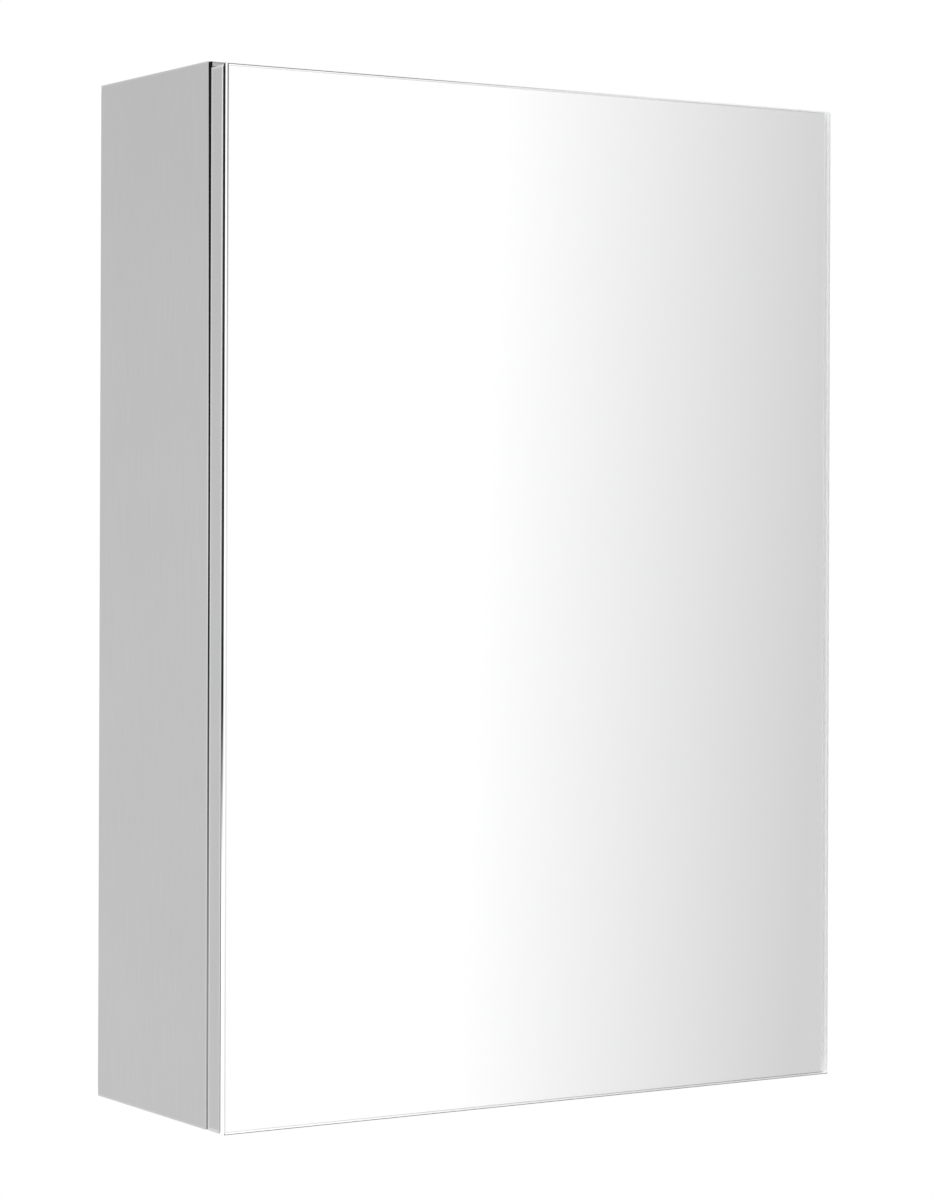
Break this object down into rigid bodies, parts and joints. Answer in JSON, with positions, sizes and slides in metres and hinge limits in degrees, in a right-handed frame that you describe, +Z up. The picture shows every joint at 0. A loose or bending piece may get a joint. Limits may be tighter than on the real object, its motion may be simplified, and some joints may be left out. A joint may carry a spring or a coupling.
{
  "type": "mirror cabinet",
  "caption": "Shallow wall cabinet of folded sheet steel with shelves and a full-height mirror door on a long knuckle hinge.",
  "frame": {"origin": "middle of the four wall-screw holes, on the back panel's rear face", "axes": "+Z up along the height, +X across to the hinge side, +Y into the wall; the mirror faces -Y"},
  "size_m": [0.3211, 0.12, 0.45],
  "materials": {
    "body_steel": "satin",
    "back_steel": "mill finish",
    "shelf_steel": "satin",
    "door_steel": "satin",
    "stiffener_steel": "galvanised",
    "hinge_steel": "bright rolled",
    "pin_steel": "drawn wire",
    "rivet_aluminium": "plain",
    "catch_plastic": "fine moulded grain",
    "magnet_nickel": "nickel plated",
    "strike_steel": "zinc plated",
    "bumper_rubber": "soft, slightly clear",
    "mirror_glass": "polished, ground arrises",
    "mirror_silver": "silvered, film backed",
    "tape_foam": "closed-cell foam",
    "seal_foam": "closed-cell foam"
  },
  "bodies": {
    "cabinet": {"left_side_panel": "body_steel", "right_side_panel": "body_steel", "top_panel": "body_steel", "bottom_panel": "body_steel", "back_panel": "back_steel", "upper_wall_rail": "back_steel", "lower_wall_rail": "back_steel", "upper_shelf": "shelf_steel", "lower_shelf": "shelf_steel", "hinge_fixed_leaf": "hinge_steel", "hinge_pin": "pin_steel", "magnet_housings": "catch_plastic", "catch_magnets": "magnet_nickel", "door_bumpers": "bumper_rubber", "door_seal": "seal_foam"},
    "door": {"door_pan": "door_steel", "door_back_panel": "door_steel", "door_stiffeners": "stiffener_steel", "back_panel_rivets": "rivet_aluminium", "hinge_moving_leaf": "hinge_steel", "strike_plates": "strike_steel", "mirror_tape": "tape_foam", "mirror_backing": "mirror_silver", "mirror_glass": "mirror_glass"}
  },
  "joints": [
    {"name": "door_hinge", "type": "hinge", "parent": "cabinet", "child": "door", "pos_m": [0.1605, -0.10415, 0], "axis": [0, 0, 1], "range_deg": [0, 180]}
  ]
}
